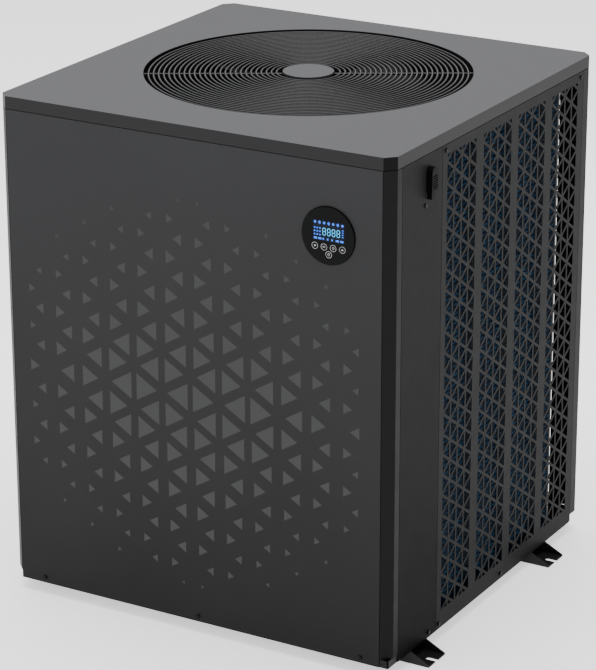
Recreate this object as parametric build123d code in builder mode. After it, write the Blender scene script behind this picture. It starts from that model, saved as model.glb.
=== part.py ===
from build123d import *
from math import sqrt
import os

# Pool heat pump with a vertical fan, millimetres, +Z up.
# Origin: the plan centre of the four foot slots, on the surface the feet stand on.

# ---------------------------------------------------------------- overall sizes
cabinet_width = 770.0          # across the front face
cabinet_depth = 755.0          # front face to back face
body_height = 901.0            # underside of the base tray to the top of the cover
foot_height = 22.0             # ground to the underside of the base tray
foot_spacing = 472.0           # centre to centre of the two foot channels
front_foot_setback = 109.5     # front face to the centre of the front foot channel
cover_rim = 22.0               # height of the cover's folded rim
corner_chamfer = 17.0          # leg of the 45 degree chamfer on each corner

# ---------------------------------------------------------------- sheet and joints
sheet = 1.2                    # cabinet sheet thickness
seam = 1.2                     # open joint between neighbouring panels
lay = 0.3                      # clearance between two sheets that lie face to face
clear = 0.5                    # clearance round inner parts

left = -cabinet_width / 2
right = cabinet_width / 2
front = -foot_spacing / 2 - front_foot_setback
back = front + cabinet_depth
middle = (front + back) / 2
tray_bottom = foot_height
floor_top = tray_bottom + sheet
cover_top = tray_bottom + body_height
cover_bottom = cover_top - cover_rim
panel_top = cover_bottom - seam
behind_panel = sheet + lay     # how far a flange lies behind the outer face
inside_frame = behind_panel + sheet + clear

os.makedirs("parts", exist_ok=True)


def save(piece, name):
    """Label a finished piece and write it to its own file."""
    piece.part.label = name
    export_step(piece.part, f"parts/{name}.step")


def level(z):
    """Horizontal sketch plane at height z."""
    return Plane.XY.offset(z)


def facing_front(y):
    """Upright plane at y seen from the front: sketch x is X, sketch y is Z."""
    return Plane(origin=(0, y, 0), x_dir=(1, 0, 0), z_dir=(0, -1, 0))


def facing_right(x):
    """Upright plane at x seen from the right: sketch x is Y, sketch y is Z."""
    return Plane(origin=(x, 0, 0), x_dir=(0, 1, 0), z_dir=(1, 0, 0))


def rectangle(x0, y0, x1, y1, mode=Mode.ADD):
    """Rectangle between two opposite corners, in the current sketch."""
    with Locations(((x0 + x1) / 2, (y0 + y1) / 2)):
        Rectangle(abs(x1 - x0), abs(y1 - y0), mode=mode)


def block(x0, x1, y0, y1, z0, z1, mode=Mode.ADD):
    """Box between two opposite corners, in the current part."""
    with Locations(((x0 + x1) / 2, (y0 + y1) / 2, (z0 + z1) / 2)):
        Box(x1 - x0, y1 - y0, z1 - z0, mode=mode)


def rod(centre, axis, radius, length, mode=Mode.ADD):
    """Cylinder on a centre, along X, Y or Z, in the current part."""
    turn = {"X": (0, 90, 0), "Y": (90, 0, 0), "Z": (0, 0, 0)}[axis]
    with Locations(centre):
        Cylinder(radius, length, rotation=turn, mode=mode)


def folded(points, thickness):
    """Closed outline of a folded sheet whose outer face follows the points.

    The sheet's thickness lies to the left of the path."""
    path = [Vector(*p) for p in points]
    normals = []
    for a, b in zip(path[:-1], path[1:]):
        run = (b - a).normalized()
        normals.append(Vector(-run.Y, run.X))
    inner = [path[0] + normals[0] * thickness]
    for at, n1, n2 in zip(path[1:-1], normals[:-1], normals[1:]):
        inner.append(at + (n1 + n2) * (thickness / (1 + n1.dot(n2))))
    inner.append(path[-1] + normals[-1] * thickness)
    return path + inner[::-1]


def outline(points, mode=Mode.ADD):
    """Filled outline through the points, in the current sketch."""
    Polygon(*points, align=None, mode=mode)


def chamfered(inset, mode=Mode.ADD):
    """The cabinet's plan shape, moved inwards by inset on every side."""
    leg = corner_chamfer - inset * (2 - sqrt(2))
    x0, x1 = left + inset, right - inset
    y0, y1 = front + inset, back - inset
    outline([(x0 + leg, y0), (x1 - leg, y0), (x1, y0 + leg), (x1, y1 - leg),
             (x1 - leg, y1), (x0 + leg, y1), (x0, y1 - leg), (x0, y0 + leg)], mode)


# ================================================================ panel layout and screws
front_strip = 16.0             # flat of a front post on the cabinet's side
rear_strip = 22.0              # flat of a rear post on the side and on the back
flange = 18.0                  # width of a post's flange behind a panel
service_width = 138.0          # narrow panel between a front post and a grille
post_edge = front + corner_chamfer + front_strip
service_back = post_edge + seam + service_width
grille_front = service_back + seam
rear_post_edge = back - corner_chamfer - rear_strip
grille_back = rear_post_edge - seam
back_half = right - corner_chamfer - rear_strip - seam
screw_radius = 2.0
screw_hole = screw_radius + 0.4
front_screw_x = (-318.0, 6.0, 330.0)
low_screw_z = tray_bottom + 9.5
grille_screw_z = cover_bottom - 11.0
side_low_screws = (post_edge + seam + 112.0, grille_front + 10.0, middle + 46.0)
grille_screws = (grille_front + 12.0, grille_back - 9.0)
back_screw_x = back_half - 9.0
cover_screw_x = (-300.0, 0.0, 300.0)
cover_screw_z = cover_bottom + cover_rim / 2
screw_length = 7.5
screw_head = 4.0               # radius of a pan head

# Every panel screw: the head's centre on the outer face, its axis, and its inward direction.
low_screws = [(x, front, low_screw_z, "Y", 1) for x in front_screw_x]
low_screws += [(right, y, low_screw_z, "X", -1) for y in side_low_screws]
low_screws += [(left, y, low_screw_z, "X", 1) for y in side_low_screws]
low_screws += [(x, back, low_screw_z, "Y", -1) for x in (-back_screw_x, back_screw_x)]
high_screws = [(right, y, grille_screw_z, "X", -1) for y in grille_screws]
high_screws += [(left, y, grille_screw_z, "X", 1) for y in grille_screws]
high_screws += [(x, back, grille_screw_z, "Y", -1) for x in (-back_screw_x, back_screw_x)]
high_screws += [(x, back, cover_screw_z, "Y", -1) for x in cover_screw_x]


def drill(screws):
    """Clearance holes for panel screws in a sheet behind the panels."""
    for x, y, z, axis, _ in screws:
        rod((x, y, z), axis, screw_hole, 3 * screw_length, mode=Mode.SUBTRACT)


# ================================================================ feet
foot_width = 60.0              # outside width of the channel
foot_sheet = 2.5
foot_overhang = 36.0           # how far a channel reaches past the cabinet's side
foot_slot_width = 11.0
foot_slot_depth = 21.0         # open-ended slot, measured from the channel's end
foot_end = right + foot_overhang
foot_bolt_x = 290.0            # bolts that hold the tray on the channels
foot_bolt_radius = 4.0
foot_web_top = tray_bottom - lay
foot_rows = (-foot_spacing / 2, foot_spacing / 2)


def foot(y, name):
    """Open-topped channel under the tray, its webs cut to a slope past the sides."""
    with BuildPart() as channel:
        with BuildSketch(facing_front(y - foot_width / 2)):
            outline([(-foot_end, 0), (foot_end, 0), (foot_end, foot_sheet + 1),
                     (right, foot_web_top), (left, foot_web_top), (-foot_end, foot_sheet + 1)])
        extrude(amount=-foot_width)
        web = foot_width - 2 * foot_sheet
        block(-foot_end, foot_end, y - web / 2, y + web / 2, foot_sheet, foot_height,
              mode=Mode.SUBTRACT)
        slot_straight = foot_slot_depth - foot_slot_width / 2
        for side in (-1, 1):
            with BuildSketch(level(0)):
                with Locations((side * (foot_end - slot_straight / 2), y)):
                    Rectangle(slot_straight, foot_slot_width)
                with Locations((side * (foot_end - slot_straight), y)):
                    Circle(foot_slot_width / 2)
            extrude(amount=foot_sheet, mode=Mode.SUBTRACT)
        with BuildSketch(level(foot_web_top - foot_sheet)):
            for x in (-foot_bolt_x, foot_bolt_x):
                with Locations((x, y)):
                    Rectangle(40, web)
        extrude(amount=foot_sheet)
        for x in (-foot_bolt_x, foot_bolt_x):
            rod((x, y, foot_web_top), "Z", foot_bolt_radius + lay, 4 * foot_sheet,
                mode=Mode.SUBTRACT)
    save(channel, name)


foot(foot_rows[0], "front_foot")
foot(foot_rows[1], "rear_foot")

# ================================================================ base tray
tray_rim = 13.0                # height of the tray's folded rim
post_bottom = tray_bottom + tray_rim + sheet + lay
notch_x = 15.0                 # plan size of the square notch at a tray corner
notch_y = 33.5
drain = (0.0, back - 130.0)
drain_radius = 9.0
drain_wall = 1.8
slit_width = 2.0
bay_y = front + 91.0           # centre line of the machine compartment
compressor_x = 130.0
bolt_offset = 60.0             # compressor bolts, from its centre in x and in y
bolt_radius = 4.0


def tray_plan(inset, mode=Mode.ADD):
    """Plan of the tray: square notches at three corners, the front right one whole."""
    x0, x1 = left + behind_panel + inset, right - behind_panel - inset
    y0, y1 = front + behind_panel + inset, back - behind_panel - inset
    nx, ny = notch_x, notch_y
    outline([(x0 + nx, y0), (x1, y0), (x1, y1 - ny), (x1 - nx, y1 - ny), (x1 - nx, y1),
             (x0 + nx, y1), (x0 + nx, y1 - ny), (x0, y1 - ny), (x0, y0 + ny),
             (x0 + nx, y0 + ny)], mode)


with BuildPart() as base_tray:
    with BuildSketch(level(tray_bottom)):
        tray_plan(0)
    extrude(amount=tray_rim + sheet)
    with BuildSketch(level(floor_top)):
        tray_plan(sheet)
    extrude(amount=tray_rim, mode=Mode.SUBTRACT)
    for y in foot_rows:
        for x in (-foot_bolt_x, foot_bolt_x):
            rod((x, y, tray_bottom), "Z", foot_bolt_radius + lay, 4 * sheet, mode=Mode.SUBTRACT)
    rod((*drain, tray_bottom), "Z", drain_radius + lay, 4 * sheet, mode=Mode.SUBTRACT)
    block(right - 4, right, front, front + 2 + slit_width, floor_top, tray_bottom + 2 * tray_rim,
          mode=Mode.SUBTRACT)
    for x in (-bolt_offset, bolt_offset):
        for y in (-bolt_offset, bolt_offset):
            rod((compressor_x + x, bay_y + y, tray_bottom), "Z", bolt_radius + lay, 4 * sheet,
                mode=Mode.SUBTRACT)
    drill(low_screws)
save(base_tray, "base_tray")

# Condensate outlet, pushed up through the tray from below.
drain_flange = 16.0
drain_length = 16.0
drain_relief = 1.0             # thinner neck between the tray and the hose wall
with BuildPart() as drain_nipple:
    with BuildSketch(level(tray_bottom - drain_relief)):
        with Locations(drain):
            Circle(drain_radius)
    extrude(amount=-drain_length)
    with BuildSketch(level(floor_top + lay)):
        with Locations(drain):
            Circle(drain_flange)
    extrude(amount=2.5)
    rod((*drain, tray_bottom), "Z", drain_radius - 0.5, 6)
    rod((*drain, tray_bottom), "Z", drain_radius - drain_wall, 60, mode=Mode.SUBTRACT)
save(drain_nipple, "drain_nipple")

# ================================================================ corner posts


def post(corner_x, corner_y, strip_x, strip_y, name):
    """Folded corner post: chamfer, two flats, and a joggled flange behind each panel."""
    sx = -1 if corner_x > 0 else 1
    sy = -1 if corner_y > middle else 1
    step = behind_panel

    def at(u, v):
        return (corner_x + sx * u, corner_y + sy * v)

    points = []
    if strip_x > 0:
        points += [at(corner_chamfer + strip_x + step + flange, step),
                   at(corner_chamfer + strip_x + step, step), at(corner_chamfer + strip_x, 0)]
    else:
        points += [at(corner_chamfer + step + flange, step), at(corner_chamfer + step, step)]
    points += [at(corner_chamfer, 0), at(0, corner_chamfer), at(0, corner_chamfer + strip_y),
               at(step, corner_chamfer + strip_y + step),
               at(step, corner_chamfer + strip_y + step + flange)]
    if sx * sy < 0:
        shape = folded(points, sheet)
    else:
        shape = folded(points[::-1], sheet)
    with BuildPart() as upright:
        with BuildSketch(level(post_bottom)):
            outline(shape)
        extrude(amount=panel_top - post_bottom)
        drill(high_screws)
    save(upright, name)


post(left, front, 0, front_strip, "front_left_post")
post(right, front, 0, front_strip, "front_right_post")
post(left, back, rear_strip, rear_strip, "rear_left_post")
post(right, back, rear_strip, rear_strip, "rear_right_post")

# ================================================================ controller sizes
control_x = 268.0
control_z = tray_bottom + 754.5
control_radius = 50.0
control_proud = 3.0            # how far the round face stands off the front panel
control_neck = 44.0            # radius of the body that passes through the panel
control_depth = 20.0

# ================================================================ panels
sensor_y = middle - 252.0
sensor_bottom = tray_bottom + 802.0
sensor_hole_z = sensor_bottom + 25.0

with BuildPart() as front_panel:
    with BuildSketch(facing_front(front)):
        half = right - corner_chamfer - seam
        rectangle(-half, tray_bottom, half, panel_top)
        with Locations((control_x, control_z)):
            Circle(control_neck + clear, mode=Mode.SUBTRACT)
        with Locations(*[(x, low_screw_z) for x in front_screw_x]):
            Circle(screw_hole, mode=Mode.SUBTRACT)
    extrude(amount=-sheet)
save(front_panel, "front_panel")

with BuildPart() as service_panel:
    with BuildSketch(facing_right(right)):
        rectangle(post_edge + seam, tray_bottom, service_back, panel_top)
        rectangle(service_back - 16 - slit_width, tray_bottom, service_back - 16,
                  tray_bottom + tray_rim, mode=Mode.SUBTRACT)
        with Locations((side_low_screws[0], low_screw_z), (sensor_y - 11.5, sensor_bottom - 10)):
            Circle(screw_hole, mode=Mode.SUBTRACT)
        with Locations((sensor_y, sensor_hole_z)):
            Circle(5, mode=Mode.SUBTRACT)
    extrude(amount=-sheet)
save(service_panel, "service_panel")

# Water and cable connections leave through the narrow panel on the left.
water_y = bay_y
water_z = (tray_bottom + 148.0, tray_bottom + 478.0)
socket_radius = 25.1           # takes a pipe of 50 mm outside diameter
socket_wall = 5.0
water_pipe_radius = 25.0
water_pipe_wall = 3.0
gland_z = tray_bottom + 610.0
gland_radius = 12.5

with BuildPart() as connection_panel:
    with BuildSketch(facing_right(left)):
        rectangle(post_edge + seam, tray_bottom, service_back, panel_top)
        for z in water_z:
            with Locations((water_y, z)):
                Circle(socket_radius + socket_wall + clear, mode=Mode.SUBTRACT)
        with Locations((water_y, gland_z)):
            Circle(gland_radius + clear, mode=Mode.SUBTRACT)
        with Locations((side_low_screws[0], low_screw_z)):
            Circle(screw_hole, mode=Mode.SUBTRACT)
    extrude(amount=sheet)
save(connection_panel, "connection_panel")

# ================================================================ grilles
cell_width = 27.5              # spacing of the lattice's upright bars
cell_side = 37.3               # spacing of its nodes up a bar
bar = 5.2                      # width of every lattice bar
cells = 4                      # cells across one perforated band
side_band_pitch = 132.6
back_band_pitch = 135.0
lattice_low = tray_bottom + 33.2
lattice_high = tray_bottom + 860.8
first_node = tray_bottom + 848.4
smallest_opening = 3.0         # shorter scraps at the edge stay solid


def cut_to_band(points, low, high):
    """Trim a convex outline to the heights between low and high."""
    for keep_above, limit in ((True, low), (False, high)):
        kept = []
        for a, b in zip(points, points[1:] + points[:1]):
            a_in = a[1] >= limit if keep_above else a[1] <= limit
            b_in = b[1] >= limit if keep_above else b[1] <= limit
            if a_in:
                kept.append(a)
            if a_in != b_in:
                share = (limit - a[1]) / (b[1] - a[1])
                kept.append((a[0] + share * (b[0] - a[0]), limit))
        points = kept
        if len(points) < 3:
            return []
    return points


def lattice(starts):
    """Triangular openings of all bands, as outlines in sketch coordinates."""
    leg = sqrt(cell_width ** 2 + (cell_side / 2) ** 2)
    inner_radius = cell_width * cell_side / (cell_side + 2 * leg)
    scale = (inner_radius - bar / 2) / inner_radius
    openings = []
    rows = int((lattice_high - lattice_low) / cell_side) + 3
    for start in starts:
        for column in range(cells):
            for row in range(-2, 2 * rows):
                centre = first_node - row * cell_side / 2
                points_left = (column + row) % 2 == 0
                base = start + cell_width * (column + 1 if points_left else column)
                way = -1 if points_left else 1
                centre_x = base + way * inner_radius
                corners = [(base, centre - cell_side / 2), (base + way * cell_width, centre),
                           (base, centre + cell_side / 2)]
                corners = [(centre_x + scale * (x - centre_x), centre + scale * (z - centre))
                           for x, z in corners]
                corners = cut_to_band(corners, lattice_low, lattice_high)
                if len(corners) < 3:
                    continue
                heights = [z for _, z in corners]
                if max(heights) - min(heights) >= smallest_opening:
                    openings.append(corners)
    return openings


def band_starts(centre, count, pitch):
    """First lattice line of each band, the set centred on a panel."""
    span = (count - 1) * pitch + cells * cell_width
    return [centre - span / 2 + k * pitch for k in range(count)]


side_starts = band_starts((grille_front + grille_back) / 2 - 2.5, 4, side_band_pitch)
back_starts = band_starts(0, 5, back_band_pitch)


def grille(plane, x0, x1, starts, screws, thickness, name):
    """Flat perforated panel with a row of screw holes along its top and bottom."""
    with BuildPart() as panel:
        with BuildSketch(plane):
            rectangle(x0, tray_bottom, x1, panel_top)
            holes = [Face(Wire.make_polygon([(x, z, 0) for x, z in tri], close=True))
                     for tri in lattice(starts)]
            add(holes, mode=Mode.SUBTRACT)
            with Locations(*screws):
                Circle(screw_hole, mode=Mode.SUBTRACT)
        extrude(amount=thickness)
    save(panel, name)


side_screws = [(y, low_screw_z) for y in side_low_screws[1:]]
side_screws += [(y, grille_screw_z) for y in grille_screws]
back_screws = [(x, z) for x in (-back_screw_x, back_screw_x) for z in (low_screw_z, grille_screw_z)]
grille(facing_right(right), grille_front, grille_back, side_starts, side_screws, -sheet,
       "right_grille")
grille(facing_right(left), grille_front, grille_back, side_starts, side_screws, sheet,
       "left_grille")
grille(facing_front(back), -back_half, back_half, back_starts, back_screws, sheet, "rear_grille")

# ================================================================ cover and top frame
fan_x = 0.0
fan_y = middle + 22.0
opening_radius = 290.0         # round discharge opening in the cover
cover_sheet = 1.2

with BuildPart() as top_cover:
    with BuildSketch(level(cover_bottom)):
        chamfered(0)
    extrude(amount=cover_rim)
    with BuildSketch(level(cover_bottom)):
        chamfered(cover_sheet)
    extrude(amount=cover_rim - cover_sheet, mode=Mode.SUBTRACT)
    rod((fan_x, fan_y, cover_top), "Z", opening_radius, 10, mode=Mode.SUBTRACT)
    for x in cover_screw_x:
        rod((x, back, cover_screw_z), "Y", screw_hole, 10, mode=Mode.SUBTRACT)
save(top_cover, "top_cover")

frame_height = 36.0
frame_ledge = 20.0
frame_sheet = 1.5
frame_top = cover_top - cover_sheet - lay
with BuildPart() as top_frame:
    with BuildSketch(level(frame_top - frame_height)):
        chamfered(inside_frame)
        chamfered(inside_frame + frame_sheet, mode=Mode.SUBTRACT)
    extrude(amount=frame_height)
    with BuildSketch(level(frame_top - frame_sheet)):
        chamfered(inside_frame)
        chamfered(inside_frame + frame_ledge, mode=Mode.SUBTRACT)
    extrude(amount=frame_sheet)
    drill(high_screws)
save(top_frame, "top_frame")

# ================================================================ fan shroud and guard
duct_radius = 293.0            # inside of the round duct
duct_wall = 1.5
duct_height = 120.0
duct_top = cover_top - cover_sheet - lay
duct_bottom = duct_top - duct_height
shroud_flange = 316.0
shroud_lip = 296.5             # stays inside the rear coil

with BuildPart() as fan_shroud:
    with BuildSketch(level(duct_top - duct_wall)):
        with Locations((fan_x, fan_y)):
            Circle(shroud_flange)
            Circle(duct_radius, mode=Mode.SUBTRACT)
    extrude(amount=duct_wall)
    with BuildSketch(level(duct_bottom)):
        with Locations((fan_x, fan_y)):
            Circle(duct_radius + duct_wall)
            Circle(duct_radius, mode=Mode.SUBTRACT)
    extrude(amount=duct_height)
    with BuildSketch(level(duct_bottom)):
        with Locations((fan_x, fan_y)):
            Circle(shroud_lip)
            Circle(duct_radius, mode=Mode.SUBTRACT)
    extrude(amount=duct_wall)
save(fan_shroud, "fan_shroud")

ring_count = 26
ring_pitch = 9.0
outer_ring = 281.0
ring_wire = 1.8                # radius of the ring wire
spoke_wire = 2.2
spoke_count = 6
spoke_turn = 30.0
ring_z = cover_top - ring_wire - 1.5
spoke_z = ring_z - ring_wire - spoke_wire + 0.8
hub_ring = 32.0
tab_height = 16.0

with BuildPart() as fan_guard:
    with BuildSketch(Plane(origin=(fan_x, fan_y, 0), x_dir=(1, 0, 0), z_dir=(0, -1, 0))):
        with Locations(*[(outer_ring - k * ring_pitch, ring_z) for k in range(ring_count)]):
            RegularPolygon(ring_wire, 8, rotation=22.5)
        with Locations((hub_ring, spoke_z)):
            Circle(spoke_wire + 0.6)
    revolve(axis=Axis((fan_x, fan_y, 0), (0, 0, 1)))
    spoke_end = duct_radius - 2.5
    spoke_length = spoke_end - hub_ring
    with Locations((fan_x, fan_y, spoke_z)):
        with PolarLocations(hub_ring + spoke_length / 2, spoke_count, start_angle=spoke_turn):
            Cylinder(spoke_wire, spoke_length, rotation=(0, 90, 0))
        with PolarLocations(duct_radius - 1.8, spoke_count, start_angle=spoke_turn):
            Box(2, 18, tab_height, align=(Align.CENTER, Align.CENTER, Align.MAX))
save(fan_guard, "fan_guard")

disc_radius = 46.0
with BuildPart() as guard_centre_disc:
    with BuildSketch(level(spoke_z + spoke_wire + 0.6 + lay)):
        with Locations((fan_x, fan_y)):
            Circle(disc_radius)
    extrude(amount=cover_top - spoke_z - spoke_wire - 0.6 - lay, taper=12)
    fillet(guard_centre_disc.edges().group_by(Axis.Z)[-1], 0.8)
save(guard_centre_disc, "guard_centre_disc")

# ================================================================ fan motor and its rails
rail_y = 84.0                  # half the spacing of the two rails
rail_width = 26.0
rail_height = 24.0
rail_sheet = 2.0
rail_top = duct_bottom - lay
rail_half = sqrt((shroud_lip - clear) ** 2 - (rail_y + rail_width / 2) ** 2)
motor_radius = 64.0
motor_bottom = rail_top - 108.0
motor_top = rail_top + 9.0
shaft_radius = 7.0
shaft_fit = 0.05               # radial running clearance of the shaft in its bearings
lug_thickness = 4.0
motor_bolt_x = 30.0

with BuildPart() as motor_rails:
    for side in (-1, 1):
        y = fan_y + side * rail_y
        block(-rail_half, rail_half, y - rail_width / 2, y + rail_width / 2,
              rail_top - rail_height, rail_top)
        block(-rail_half - 1, rail_half + 1, y - rail_width / 2 + rail_sheet,
              y + rail_width / 2 - rail_sheet, rail_top - rail_height - 1, rail_top - rail_sheet,
              mode=Mode.SUBTRACT)
        for x in (-motor_bolt_x, motor_bolt_x):
            rod((x, y, rail_top), "Z", 3.3, 12, mode=Mode.SUBTRACT)
save(motor_rails, "motor_rails")

with BuildPart() as fan_motor:
    rod((fan_x, fan_y, (motor_bottom + motor_top) / 2), "Z", motor_radius, motor_top - motor_bottom)
    fillet(fan_motor.edges().filter_by(GeomType.CIRCLE), 8)
    lug_reach = rail_y + rail_width / 2
    block(fan_x - 42, fan_x + 42, fan_y - lug_reach, fan_y + lug_reach, rail_top + lay,
          rail_top + lay + lug_thickness)
    rod((fan_x, fan_y, motor_top + 4), "Z", 18, 16)
    rod((fan_x, fan_y, motor_bottom - 2), "Z", 18, 12)
    for x in (-motor_bolt_x, motor_bolt_x):
        for side in (-1, 1):
            rod((x, fan_y + side * rail_y, rail_top), "Z", 3.3, 16, mode=Mode.SUBTRACT)
    rod((fan_x, fan_y, motor_top), "Z", shaft_radius + shaft_fit, 400, mode=Mode.SUBTRACT)
save(fan_motor, "fan_motor")

# ================================================================ fan rotor
blade_count = 5
blade_tip = duct_radius - 6.0
hub_radius = 74.0
hub_bottom = motor_top + 16.0
hub_height = 52.0
hub_top = hub_bottom + hub_height
root_chord = 96.0
root_angle = 36.0
tip_chord = 190.0
tip_angle = 19.0
blade_z = hub_bottom + hub_height / 2
shaft_top = hub_top + 14.0
shaft_bottom = motor_bottom - 6.0

with BuildPart() as blade:
    for radius, chord, angle in ((hub_radius - 6, root_chord, root_angle),
                                 (duct_radius + 4, tip_chord, tip_angle)):
        with BuildSketch(Plane(origin=(radius, 0, blade_z), x_dir=(0, 1, 0), z_dir=(1, 0, 0))):
            SlotOverall(chord, 4.0, rotation=angle)
    loft()

with BuildPart() as fan_blades:
    turns = [Location((fan_x, fan_y, 0), (0, 0, k * 360 / blade_count)) for k in range(blade_count)]
    with Locations(*turns):
        add(blade.part)
    with BuildSketch(level(hub_bottom - 60)):
        with Locations((fan_x, fan_y)):
            Circle(blade_tip)
    extrude(amount=hub_height + 120, mode=Mode.INTERSECT)
    rod((fan_x, fan_y, blade_z), "Z", hub_radius, hub_height)
    with BuildSketch(level(hub_bottom)):
        with Locations((fan_x, fan_y)):
            Circle(hub_radius - 3)
            Circle(22, mode=Mode.SUBTRACT)
    extrude(amount=hub_height - 3, mode=Mode.SUBTRACT)
    rod((fan_x, fan_y, blade_z), "Z", shaft_radius, hub_height, mode=Mode.SUBTRACT)
save(fan_blades, "fan_blades")

shaft_thread = 5.0
with BuildPart() as fan_shaft:
    with BuildSketch(level(shaft_bottom)):
        with Locations((fan_x, fan_y)):
            Circle(shaft_radius)
    extrude(amount=hub_top - shaft_bottom)
    with BuildSketch(level(hub_top)):
        with Locations((fan_x, fan_y)):
            Circle(shaft_thread)
    extrude(amount=shaft_top - hub_top)
save(fan_shaft, "fan_shaft")

with BuildPart() as fan_nut:
    with BuildSketch(level(hub_top)):
        with Locations((fan_x, fan_y)):
            Circle(14)
            Circle(shaft_thread, mode=Mode.SUBTRACT)
    extrude(amount=2)
    with BuildSketch(level(hub_top + 2)):
        with Locations((fan_x, fan_y)):
            RegularPolygon(9.8, 6)
            Circle(shaft_thread, mode=Mode.SUBTRACT)
    extrude(amount=8)
save(fan_nut, "fan_nut")

# ================================================================ evaporator coils
coil_depth = 44.0              # through the fin pack, outside to inside
coil_setback = 14.0            # grille's outer face to the fin faces
coil_bottom = floor_top + 8.0
coil_top = cover_bottom - 12.0
plate = 1.5                    # coil end plate
plate_lip = 1.5                # how far an end plate stands out past the fins
coil_front = grille_front + 38.0
coil_back = back - 112.0
back_coil_half = 298.0
tube_radius = 4.8
tube_pitch = 25.4
row_pitch = 20.0
bend_reach = 1.0
tube_rows = int((coil_top - coil_bottom - 2 * tube_pitch) / (2 * tube_pitch))


def coil_block(face, inwards, along_y, start, end, grow, z0, z1):
    """Fin block or plate of one straight coil, in the current part."""
    low = min(face, face + inwards * coil_depth) - grow
    high = max(face, face + inwards * coil_depth) + grow
    if along_y:
        block(low, high, start, end, z0, z1)
    else:
        block(start, end, low, high, z0, z1)


coils = {
    "right": (right - coil_setback, -1, True, coil_front, coil_back),
    "left": (left + coil_setback, 1, True, coil_front, coil_back),
    "rear": (back - coil_setback, -1, False, -back_coil_half, back_coil_half),
}

for side, (face, inwards, along_y, start, end) in coils.items():
    with BuildPart() as fins:
        coil_block(face, inwards, along_y, start, end, 0, coil_bottom, coil_top)
    save(fins, f"{side}_coil_fins")

with BuildPart() as coil_end_plates:
    for face, inwards, along_y, start, end in coils.values():
        for near in (start - plate - lay, end + lay):
            coil_block(face, inwards, along_y, near, near + plate, plate_lip,
                       coil_bottom - 4, coil_top + 4)
save(coil_end_plates, "coil_end_plates")


def return_bend(base):
    """U-shaped tube between two holes one tube pitch apart."""
    with BuildPart(mode=Mode.PRIVATE) as bend:
        with BuildLine(base) as path:
            out = Line((0, 0), (bend_reach, 0))
            arc = TangentArc(out @ 1, (bend_reach, tube_pitch), tangent=out % 1)
            Line(arc @ 1, (0, tube_pitch))
        with BuildSketch(Plane(origin=path.line @ 0, z_dir=path.line % 0)):
            RegularPolygon(tube_radius, 8)
        sweep(path=path.line)
    return bend.part


with BuildPart() as coil_return_bends:
    for face, inwards, along_y, start, end in coils.values():
        centre = face + inwards * coil_depth / 2
        for edge, way in ((start - plate - 2 * lay, -1), (end + plate + 2 * lay, 1)):
            if along_y:
                base = Plane(origin=(0, 0, 0), x_dir=(0, way, 0), z_dir=(way, 0, 0))
            else:
                base = Plane(origin=(0, 0, 0), x_dir=(way, 0, 0), z_dir=(0, -way, 0))
            bend = return_bend(base)
            spots = []
            for k in range(tube_rows):
                z = coil_bottom + tube_pitch * (1 + 2 * k)
                for row in (-0.5, 0.5):
                    across = centre + row * row_pitch
                    spots.append((across, edge, z) if along_y else (edge, across, z))
            with Locations(*spots):
                add(bend)
save(coil_return_bends, "coil_return_bends")

# ================================================================ machine compartment
wall_y = service_back + 7.0    # partition between machine compartment and air space
wall_sheet = 1.2
wall_flange = 26.0
roof_z = tray_bottom + 680.0
roof_flange = 18.0
wall_half = right - inside_frame - frame_sheet - clear
duct_gap = 330.0               # half width of the cut-out under the fan duct
pipe_radius = 6.35
liquid_radius = 4.8
valve_x = 105.0
valve_z = tray_bottom + 450.0
stub_pitch = 24.0
gas_line_x = valve_x + stub_pitch
gas_line_z = valve_z - 52.0
expansion_x = -40.0
expansion_z = tray_bottom + 498.0

with BuildPart() as partition_wall:
    with BuildSketch(level(floor_top + lay)):
        outline(folded([(wall_half, wall_y - wall_flange), (wall_half, wall_y),
                        (-wall_half, wall_y), (-wall_half, wall_y - wall_flange)], wall_sheet))
    extrude(amount=panel_top - floor_top - lay)
    block(-duct_gap, duct_gap, wall_y - 5, wall_y + 5, roof_z + 1, cover_top, mode=Mode.SUBTRACT)
    rod((gas_line_x, wall_y, gas_line_z), "Y", pipe_radius + 3, 10, mode=Mode.SUBTRACT)
    rod((expansion_x, wall_y, expansion_z), "Y", liquid_radius + 3, 10, mode=Mode.SUBTRACT)
save(partition_wall, "partition_wall")

with BuildPart() as compartment_roof:
    roof_front = front + behind_panel + sheet + clear
    with BuildSketch(facing_right(-wall_half + wall_sheet + clear)):
        outline(folded([(roof_front, roof_z - roof_flange), (roof_front, roof_z),
                        (wall_y - wall_sheet - lay, roof_z),
                        (wall_y - wall_sheet - lay, roof_z - roof_flange)][::-1], wall_sheet))
    extrude(amount=2 * (wall_half - wall_sheet - clear))
    for side in (-1, 1):
        block(side * wall_half - 45, side * wall_half + 45, roof_front - 2, roof_front + 45,
              roof_z - 30, roof_z + 5, mode=Mode.SUBTRACT)
save(compartment_roof, "compartment_roof")

# ================================================================ compressor set
compressor_radius = 74.0
compressor_height = 300.0
compressor_bottom = floor_top + 24.0
grommet_radius = 13.0
discharge_dx = 34.0            # discharge stub, from the compressor's axis
discharge_dy = 20.0
discharge_top = compressor_bottom + compressor_height + 8.0

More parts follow.
